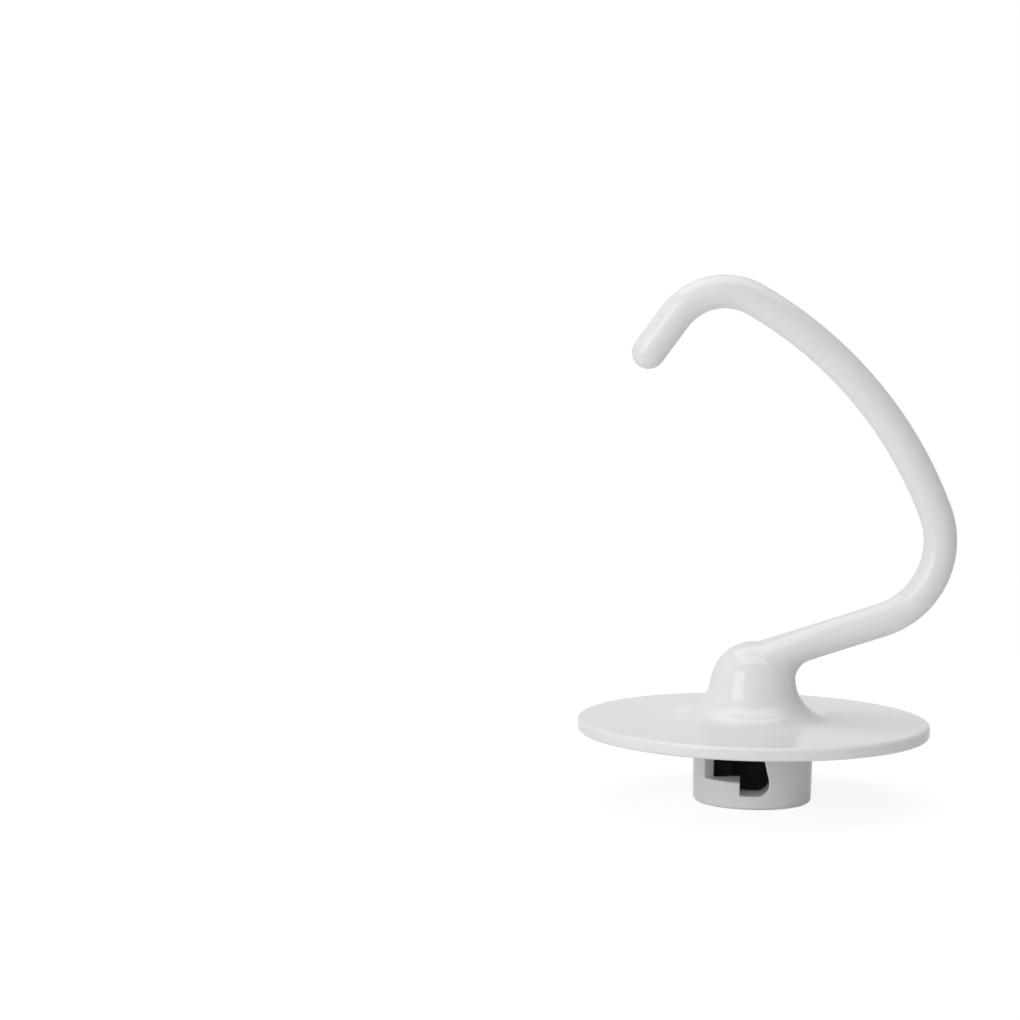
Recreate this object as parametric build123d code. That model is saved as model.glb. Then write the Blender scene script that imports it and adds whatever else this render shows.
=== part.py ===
from build123d import *
import math
import os

# Stand mixer dough hook, one aluminium casting, in millimetres.
# The bore's axis is Z, the collar's end face is z = 0, and the arm lies in the XZ plane on the +X side.

# Mixer shaft and its cross pin, and the room left around them
shaft_d = 12.7
shaft_room = 0.3
pin_d = 6.35
pin_room = 1.2
pin_reach = 12.6
pin_end_room = 0.6

# Collar and its blind bore
collar_d = 36.2
collar_draft = 1.0
collar_edge = 1.4
collar_blend = 2.0
bore_depth = 38.0
bore_end_round = 2.0

# Disc
disc_d = 108.0
disc_mid_z = 23.2
disc_slope = 1.5
rim_height = 4.0
rim_top_round = 1.2
rim_low_round = 1.0

# Neck: an egg-shaped boss on the disc, a little off the axis on the side away from the arm
neck_d = 26.5
neck_shift = 0.5
neck_rise = 11.7
dome_share = 1.083
neck_blend_share = 0.94

# Arm: a root spread sideways into the dome, a straight run, three bends the same way, a straight tip
arm_d = 10.25
arm_cover = 0.55
arm_rise = 18.6
root_spread_share = 0.65
root_length = 30.0
root_blend_share = 0.75
run_length = 40.5
heel_bend = 25.45
heel_angle = 93.0
bow_bend = 125.8
bow_angle = 39.6
tip_bend = 18.8
tip_angle = 83.5
tip_length = 13.4

# Pin slot: a keyway up from the collar's end, a channel the pin turns along, a pocket it drops into
keyway_angle = 15.0
channel_end_angle = 45.0
channel_floor = 8.45
channel_roof = 16.5
pocket_angle = 3.6
pocket_left = 3.7
pocket_right = 5.25
pocket_lean = 13.5
pocket_floor = 4.3
pocket_round = 3.8
slot_corner = 0.5
slot_edge = 0.4

arm_r = arm_d / 2
neck_r = neck_d / 2
dome_height = neck_r * dome_share
neck_blend = neck_r * neck_blend_share
root_half = neck_r * root_spread_share
dome_mid_z = disc_mid_z + neck_rise
arm_axis_z = dome_mid_z + dome_height - arm_cover - arm_r
root_blend = (neck_r - arm_r) * root_blend_share
bore_r = (shaft_d + shaft_room) / 2
keyway_w = pin_d + pin_room
keyway_reach = pin_reach + pin_end_room


def aim(heading):
    # Direction in the XZ plane, counted from +X towards +Z
    return Vector(math.cos(math.radians(heading)), 0, math.sin(math.radians(heading)))


def across(spot, heading):
    # Plane across the arm at a spot
    return Plane(spot, x_dir=(0, 1, 0), z_dir=aim(heading))


def turned_body():
    # Collar and disc as one profile; the disc thins from the hub to its rim
    slope = math.tan(math.radians(disc_slope))
    draft = math.tan(math.radians(collar_draft))
    rim_r = disc_d / 2
    end = (collar_d / 2, 0)
    top = (rim_r, disc_mid_z + rim_height / 2)
    low = (rim_r, disc_mid_z - rim_height / 2)
    hub_z = (low[1] - (rim_r - end[0]) * slope) / (1 - slope * draft)
    hub = (end[0] + hub_z * draft, hub_z)
    with BuildSketch(Plane.XZ) as profile:
        with BuildLine():
            Polyline((0, top[1] + rim_r * slope), (0, 0), end, hub, low, top, close=True)
        make_face()
        rounds = ((end, collar_edge), (hub, collar_blend), (low, rim_low_round), (top, rim_top_round))
        for spot, size in rounds:
            fillet(profile.vertices().sort_by_distance((*spot, 0))[0], size)
    return Rot(0, 0, 90) * revolve(profile.sketch, Axis.Z)


def neck_boss():
    # Oval of revolution, cut off inside the disc
    foot = math.degrees(math.asin(neck_rise / dome_height))
    with BuildSketch(Plane.XZ) as profile:
        with BuildLine():
            side = EllipticalCenterArc((0, dome_mid_z), neck_r, dome_height, start_angle=-foot,
                                       arc_size=90 + foot)
            Polyline(side @ 1, (0, disc_mid_z), side @ 0)
        make_face()
    return Pos(-neck_shift, 0, 0) * Rot(0, 0, 90) * revolve(profile.sketch, Axis.Z)


def arm_root():
    # Oval sections as high as the arm, wider towards the dome by a cosine ease
    sections = []
    for part in (0, 0.25, 0.5, 0.75, 1):
        ease = (1 + math.cos(math.pi * part)) / 2
        half = arm_r + (root_half - arm_r) * ease
        spot = Vector(0, 0, arm_axis_z) + aim(arm_rise) * root_length * part
        sections.append(across(spot, arm_rise) * Ellipse(half, arm_r))
    return loft(sections)


def arm_path():
    # Tangent chain from the end of the root to the tip
    heading = arm_rise
    foot = Vector(0, 0, arm_axis_z)
    end = foot + aim(heading) * run_length
    chain = [Edge.make_line(foot + aim(heading) * root_length, end)]
    for bend, turn in ((heel_bend, heel_angle), (bow_bend, bow_angle), (tip_bend, tip_angle)):
        centre = end + aim(heading + 90) * bend
        start = end
        middle = centre + aim(heading + turn / 2 - 90) * bend
        end = centre + aim(heading + turn - 90) * bend
        chain.append(Edge.make_three_point_arc(start, middle, end))
        heading += turn
    tip = end + aim(heading) * tip_length
    chain.append(Edge.make_line(end, tip))
    return Wire(chain), tip, heading


def round_arm():
    path, tip, heading = arm_path()
    rod = sweep(across(path @ 0, arm_rise) * Circle(arm_r), path)
    with BuildSketch(Plane.XZ) as quarter:
        with BuildLine():
            Polyline((0, arm_r), (0, 0), (arm_r, 0))
            RadiusArc((arm_r, 0), (0, arm_r), -arm_r)
        make_face()
    return rod + across(tip, heading) * revolve(quarter.sketch, Axis.Z)


def shaft_bore():
    # Blind bore, and the keyway that lets the pin in from the end face
    with BuildSketch(Plane.XZ) as profile:
        with BuildLine():
            Polyline((0, 0), (bore_r, 0), (bore_r, bore_depth), (0, bore_depth), close=True)
        make_face()
        fillet(profile.vertices().sort_by_distance((bore_r, bore_depth, 0))[0], bore_end_round)
    keyway = Pos(-keyway_reach / 2, 0, channel_roof / 2) * Box(keyway_reach, keyway_w, channel_roof)
    return revolve(profile.sketch, Axis.Z) + Rot(0, 0, keyway_angle) * keyway


def front(angle):
    # Directions out of and along the collar's front, turned from -Y towards -X
    turn = math.radians(angle)
    return Vector(-math.sin(turn), -math.cos(turn), 0), Vector(math.cos(turn), -math.sin(turn), 0)


def pin_slot():
    # Outline seen straight on, sideways and up, pushed out from the bore's axis through the collar's wall
    slope = math.tan(math.radians(pocket_lean))
    wall_low = pocket_right + (channel_floor - pocket_floor) * slope
    wall_high = pocket_right - (channel_roof - channel_floor) * slope
    outward, sideways = front(pocket_angle)
    with BuildSketch() as outline:
        with BuildLine():
            Polyline((-collar_d, channel_roof), (-collar_d, channel_floor), (-pocket_left, channel_floor),
                     (-pocket_left, pocket_floor), (wall_low, pocket_floor), (wall_high, channel_roof),
                     close=True)
        make_face()
        fillet(outline.vertices().sort_by_distance((wall_low, pocket_floor, 0))[0], pocket_round)
        for spot in ((-pocket_left, channel_floor), (-pocket_left, pocket_floor)):
            fillet(outline.vertices().sort_by_distance((*spot, 0))[0], slot_corner)
    window = extrude(Plane((0, 0, 0), x_dir=sideways, z_dir=outward) * outline.sketch, collar_d)
    # The channel ends beside the pin, where the pin points to the end angle
    beside = front(channel_end_angle)[1]
    return split(window, bisect_by=Plane(beside * (-keyway_w / 2), z_dir=beside), keep=Keep.TOP)


def slot_mouth(solid):
    # Edges of the slot on the collar's outer skin
    skin = collar_d / 2 - slot_edge
    found = []
    for edge in solid.edges():
        middle = edge.center()
        inner = min(math.hypot(v.X, v.Y) for v in edge.vertices())
        if inner > skin and middle.Y < 0 and collar_edge < middle.Z <= channel_roof:
            found.append(edge)
    return found


hook = turned_body() + neck_boss()
hook = fillet(hook.edges().filter_by(GeomType.BSPLINE), neck_blend)
hook = hook + (arm_root() + round_arm())
arm_low_z = arm_axis_z - arm_r
root_edges = hook.edges().filter_by(GeomType.BSPLINE).filter_by(lambda e: e.center().Z > arm_low_z)
hook = fillet(root_edges.sort_by(SortBy.LENGTH)[-1], root_blend)
hook = hook - shaft_bore() - pin_slot()
hook = fillet(slot_mouth(hook), slot_edge)

os.makedirs("parts", exist_ok=True)
export_step(hook, "parts/dough_hook.step")
print("dough_hook", hook.is_valid, len(hook.solids()), "solid,", round(hook.volume / 1000, 2), "cm3")
print(hook.bounding_box())
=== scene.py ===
import bpy
import math
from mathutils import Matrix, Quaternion, Vector

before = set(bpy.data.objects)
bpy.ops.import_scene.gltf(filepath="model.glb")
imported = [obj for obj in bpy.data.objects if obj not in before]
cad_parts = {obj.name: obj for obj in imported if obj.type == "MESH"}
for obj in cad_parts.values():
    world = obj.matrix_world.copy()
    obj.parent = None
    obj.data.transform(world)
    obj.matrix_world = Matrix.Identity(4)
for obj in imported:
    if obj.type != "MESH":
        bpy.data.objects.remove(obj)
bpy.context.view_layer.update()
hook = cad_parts["dough_hook"]
print("frame loaded:", sorted(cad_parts))

scene = bpy.context.scene
scene.view_settings.view_transform = "Standard"


def newTree(name):
    # a material with an empty node tree
    material = bpy.data.materials.new(name)
    material.use_nodes = True
    material.node_tree.nodes.clear()
    return material, material.node_tree


def add(tree, kind, place, **settings):
    node = tree.nodes.new(kind)
    node.location = place
    for key, value in settings.items():
        setattr(node, key, value)
    return node


def fill(node, **values):
    # sets input sockets by name, with spaces written as underscores
    for key, value in values.items():
        node.inputs[key.replace("_", " ")].default_value = value
    return node


def join(tree, source, target):
    tree.links.new(source, target)


def feed(tree, value, target):
    # a socket is joined, a plain number or colour is written into the input
    if isinstance(value, bpy.types.NodeSocket):
        join(tree, value, target)
    else:
        target.default_value = value


def math2(tree, kind, place, first, second=0):
    node = add(tree, "ShaderNodeMath", place, operation=kind)
    feed(tree, first, node.inputs[0])
    feed(tree, second, node.inputs[1])
    return node.outputs[0]


def ramp(tree, place, value, low, high, outLow, outHigh, style="LINEAR"):
    # carries a value from one range to another
    node = add(tree, "ShaderNodeMapRange", place, interpolation_type=style)
    fill(node, From_Min=low, From_Max=high, To_Min=outLow, To_Max=outHigh)
    join(tree, value, node.inputs["Value"])
    return node.outputs["Result"]


# a Mix node's two inputs and its output for each kind of value
mixSockets = {"FLOAT": (2, 3, 0), "RGBA": (6, 7, 2)}


def mix(tree, kind, place, share, first, second):
    # the first value where the share is 0, the second where it is 1
    node = add(tree, "ShaderNodeMix", place, data_type=kind)
    firstIn, secondIn, out = mixSockets[kind]
    join(tree, share, node.inputs["Factor"])
    feed(tree, first, node.inputs[firstIn])
    feed(tree, second, node.inputs[secondIn])
    return node.outputs[out]


def mixShaders(tree, place, share, first, second):
    node = add(tree, "ShaderNodeMixShader", place)
    for source, target in zip((share, first.outputs[0], second.outputs[0]), node.inputs):
        join(tree, source, target)
    return node


coat = {
    "light": (0.815, 0.825, 0.840, 1), "deep": (0.795, 0.806, 0.822, 1),
    # painted shade: near black for the uncoated inside of the bore and keyway
    "bareShade": (0.035, 0.035, 0.037, 1),
    "sheen": 0.060, "glance": 0.03,           # even gloss, and gloss that grows at glancing angles
    "roughLow": 0.12, "roughHigh": 0.15, "bareRough": 0.62,
    "noiseLow": 0.3, "noiseHigh": 0.7,        # a noise keeps mostly between these values
    "toneScale": 38.0, "toneDetail": 4.0,
    "peelScale": 420.0, "peelDetail": 0.0, "peelHeight": 0.000002,
    "grainScale": 1500.0, "grainDetail": 3.0,
    "boreRadius": 0.0065, "boreDepth": 0.0380,
    "keywayTurn": 15.0, "keywayHalf": 0.003775, "keywayEnd": 0.0132, "keywayRoof": 0.0165,
    "edgeSoft": 0.00012, "edgeWander": 0.00025,
}


def coatNoise(tree, name, place, spot):
    noise = add(tree, "ShaderNodeTexNoise", place)
    fill(noise, Scale=coat[name + "Scale"], Detail=coat[name + "Detail"])
    join(tree, spot, noise.inputs["Vector"])
    return noise.outputs["Fac"]


def within(tree, place, value, limit):
    # 1 up to a wall and past all that the coat's edge wanders, so that the wall stays bare, then 0
    first = limit + coat["edgeWander"] + coat["edgeSoft"]
    return ramp(tree, place, value, first, first + 2 * coat["edgeSoft"], 1, 0)


def bareMetalAndShade(tree, spot):
    # 1 inside the bore and the keyway, which have no coat and are painted near black as shade, else 0
    grain = coatNoise(tree, "grain", (-1200, -200), spot)
    wander = ramp(tree, (-1000, -250), grain, coat["noiseLow"], coat["noiseHigh"], 0, coat["edgeWander"])

    # distance from the bore's axis: the length of the place with its height set to nought
    flat = add(tree, "ShaderNodeVectorMath", (-1200, -500), operation="MULTIPLY")
    flat.inputs[1].default_value = (1, 1, 0)
    join(tree, spot, flat.inputs[0])
    length = add(tree, "ShaderNodeVectorMath", (-1000, -500), operation="LENGTH")
    join(tree, flat.outputs["Vector"], length.inputs[0])

    # the place turned about the bore's axis, so that the keyway points to -X
    turned = add(tree, "ShaderNodeVectorRotate", (-1200, -750), rotation_type="Z_AXIS")
    fill(turned, Angle=-math.radians(coat["keywayTurn"]))
    join(tree, spot, turned.inputs["Vector"])
    split = add(tree, "ShaderNodeSeparateXYZ", (-1000, -750))
    join(tree, turned.outputs["Vector"], split.inputs[0])
    height = split.outputs["Z"]

    # inside the bore: nearer to the axis than its wall, and below its end
    radial = math2(tree, "ADD", (-800, -500), length.outputs["Value"], wander)
    nearAxis = within(tree, (-600, -500), radial, coat["boreRadius"])
    underEnd = within(tree, (-600, -700), height, coat["boreDepth"])
    inBore = math2(tree, "MULTIPLY", (-350, -600), nearAxis, underEnd)

    # inside the keyway: between its sides, on its side of the axis, short of its end and under its roof
    side = math2(tree, "ABSOLUTE", (-1000, -950), split.outputs["Y"])
    sideways = math2(tree, "ADD", (-800, -950), side, wander)
    between = within(tree, (-600, -900), sideways, coat["keywayHalf"])
    outwards = math2(tree, "MULTIPLY", (-800, -1100), split.outputs["X"], -1)
    beforeEnd = within(tree, (-600, -1100), outwards, coat["keywayEnd"])
    onSide = ramp(tree, (-600, -1300), outwards, -coat["edgeSoft"], 0, 0, 1)
    underRoof = within(tree, (-600, -1500), height, coat["keywayRoof"])
    slotAlong = math2(tree, "MULTIPLY", (-350, -1100), beforeEnd, onSide)
    slotAcross = math2(tree, "MULTIPLY", (-350, -1300), between, underRoof)
    inKeyway = math2(tree, "MULTIPLY", (-150, -1200), slotAlong, slotAcross)
    return math2(tree, "MAXIMUM", (50, -800), inBore, inKeyway)


def makeCoat():
    # white coat all over, left off inside the bore and the keyway, where the uncoated metal is painted
    # near black as shade
    material, tree = newTree("whiteCoat")
    shader = add(tree, "ShaderNodeBsdfPrincipled", (900, 0))
    fill(shader, Metallic=coat["sheen"], Specular_IOR_Level=coat["glance"])
    output = add(tree, "ShaderNodeOutputMaterial", (1200, 0))
    join(tree, shader.outputs["BSDF"], output.inputs["Surface"])
    spot = add(tree, "ShaderNodeTexCoord", (-1500, 0)).outputs["Object"]
    tone = coatNoise(tree, "tone", (-1200, 400), spot)
    peel = coatNoise(tree, "peel", (-1200, 100), spot)
    bareShade = bareMetalAndShade(tree, spot)

    white = mix(tree, "RGBA", (-600, 400), tone, coat["deep"], coat["light"])
    # painted shade: the uncoated inside of the bore and keyway turns near black
    colour = mix(tree, "RGBA", (500, 300), bareShade, white, coat["bareShade"])
    join(tree, colour, shader.inputs["Base Color"])

    whiteRough = ramp(tree, (-600, 0), tone, coat["noiseLow"], coat["noiseHigh"],
                      coat["roughLow"], coat["roughHigh"])
    rough = mix(tree, "FLOAT", (500, 0), bareShade, whiteRough, coat["bareRough"])
    join(tree, rough, shader.inputs["Roughness"])

    bump = fill(add(tree, "ShaderNodeBump", (500, -300)), Strength=1.0, Distance=coat["peelHeight"])
    join(tree, peel, bump.inputs["Height"])
    join(tree, bump.outputs["Normal"], shader.inputs["Normal"])
    return material


hook.data.materials.clear()
hook.data.materials.append(makeCoat())
print("white coat set")

ground = {
    "half": 6.0, "colour": (0.86, 0.86, 0.86, 1),
    "keep": 0.26, "fillIn": 0.48,             # share of the shadow that is seen, light that fills it in
    "near": 0.16, "far": 0.60,                # the shadow fades out between these distances
}


def seenRays(tree):
    # 1 for rays from the camera, from glossy surfaces and through clear ones, else 0
    path = add(tree, "ShaderNodeLightPath", (-600, 300)).outputs
    straight = math2(tree, "MAXIMUM", (-300, 300), path["Is Camera Ray"], path["Is Glossy Ray"])
    return math2(tree, "MAXIMUM", (-100, 300), straight, path["Is Transmission Ray"])


def paleFloor():
    # matte for the light; for the camera and reflections white, with a faint shadow near the hook
    material, tree = newTree("paleFloor")
    matte = fill(add(tree, "ShaderNodeBsdfDiffuse", (0, 0)), Color=ground["colour"])
    filler = fill(add(tree, "ShaderNodeEmission", (0, -150)), Strength=ground["fillIn"])
    glow = fill(add(tree, "ShaderNodeEmission", (0, -300)), Strength=1.0)
    lit = add(tree, "ShaderNodeAddShader", (200, -100))
    join(tree, matte.outputs[0], lit.inputs[0])
    join(tree, filler.outputs[0], lit.inputs[1])

    # share of the shadow: full near the hook, none far from it
    spot = add(tree, "ShaderNodeTexCoord", (-600, -500)).outputs["Object"]
    reach = add(tree, "ShaderNodeVectorMath", (-400, -500), operation="LENGTH")
    join(tree, spot, reach.inputs[0])
    keep = ramp(tree, (-200, -500), reach.outputs["Value"], ground["near"], ground["far"],
                ground["keep"], 0, "SMOOTHSTEP")
    white = mixShaders(tree, (400, -200), keep, glow, lit)
    seen = mixShaders(tree, (600, 0), seenRays(tree), matte, white)
    output = add(tree, "ShaderNodeOutputMaterial", (800, 0))
    join(tree, seen.outputs[0], output.inputs["Surface"])
    return material


def makeFloor():
    half = ground["half"]
    corners = [(-half, -half, 0), (half, -half, 0), (half, half, 0), (-half, half, 0)]
    mesh = bpy.data.meshes.new("floor")
    mesh.from_pydata(corners, [], [(0, 1, 2, 3)])
    mesh.materials.append(paleFloor())
    floor = bpy.data.objects.new("floor", mesh)
    scene.collection.objects.link(floor)


makeFloor()
print("floor set")

# panels stand at an azimuth from the camera's side, left being minus, at a height angle and a distance;
# those that shine show up in the coat as highlights
studio = {
    "aim": (0.0, 0.0, 0.08),
    "ambient": (0.099, 0.100, 0.102, 1),
    "panels": {
        "keyLeft": {"azimuth": -44, "height": 19, "distance": 1.2, "size": (0.62, 0.90),
                    "level": 1.80, "shine": True},
        "sideLeft": {"azimuth": -88, "height": 15, "distance": 1.2, "size": (0.90, 0.80),
                     "level": 1.35, "shine": False},
        "front": {"azimuth": -3, "height": 16, "distance": 1.5, "size": (0.90, 0.70),
                  "level": 3.05, "shine": False},
        "top": {"azimuth": 180, "height": 81, "distance": 1.1, "size": (1.60, 1.40),
                "level": 1.42, "shine": True},
    },
}


def makePanel(name, spec):
    # a flat lamp facing the hook; its power is pi times its area times the brightness of its face
    side, rise = math.radians(spec["azimuth"]), math.radians(spec["height"])
    outward = Vector((math.sin(side) * math.cos(rise), -math.cos(side) * math.cos(rise), math.sin(rise)))
    lamp = bpy.data.lights.new(name, "AREA")
    lamp.shape = "RECTANGLE"
    lamp.size, lamp.size_y = spec["size"]
    lamp.energy = math.pi * spec["size"][0] * spec["size"][1] * spec["level"]
    holder = bpy.data.objects.new(name, lamp)
    holder.location = Vector(studio["aim"]) + outward * spec["distance"]
    holder.rotation_mode = "QUATERNION"
    holder.rotation_quaternion = outward.to_track_quat("Z", "Y")
    holder.visible_glossy = spec["shine"]
    scene.collection.objects.link(holder)


def makeWorld():
    # even light all round; the camera and reflections see white
    world = bpy.data.worlds.new("studio")
    world.use_nodes = True
    tree = world.node_tree
    tree.nodes.clear()
    around = fill(add(tree, "ShaderNodeBackground", (0, 0)), Color=studio["ambient"], Strength=1.0)
    white = fill(add(tree, "ShaderNodeBackground", (0, -200)), Color=(1, 1, 1, 1), Strength=1.0)
    seen = mixShaders(tree, (400, 0), seenRays(tree), around, white)
    output = add(tree, "ShaderNodeOutputWorld", (700, 0))
    join(tree, seen.outputs[0], output.inputs["Surface"])
    scene.world = world


for panelName, panelSpec in studio["panels"].items():
    makePanel(panelName, panelSpec)
makeWorld()
print("light set:", len(studio["panels"]), "panels")

shot = {
    "place": (-0.07586, -1.2, 0.21864), "aim": (-0.07586, 0.0, 0.08842),
    "lens": 139.61, "sensor": 36.0, "roll": 1.0,
}


def makeCamera():
    # looks from its place to its aim, level, then rolls about its own line of sight
    lens = bpy.data.cameras.new("photoView")
    lens.lens = shot["lens"]
    lens.sensor_width = shot["sensor"]
    holder = bpy.data.objects.new("photoView", lens)
    holder.location = shot["place"]
    holder.rotation_mode = "QUATERNION"
    sight = Vector(shot["aim"]) - Vector(shot["place"])
    level = sight.to_track_quat("-Z", "Y")
    holder.rotation_quaternion = level @ Quaternion((0, 0, 1), math.radians(shot["roll"]))
    scene.collection.objects.link(holder)
    scene.camera = holder


makeCamera()
print("camera set")
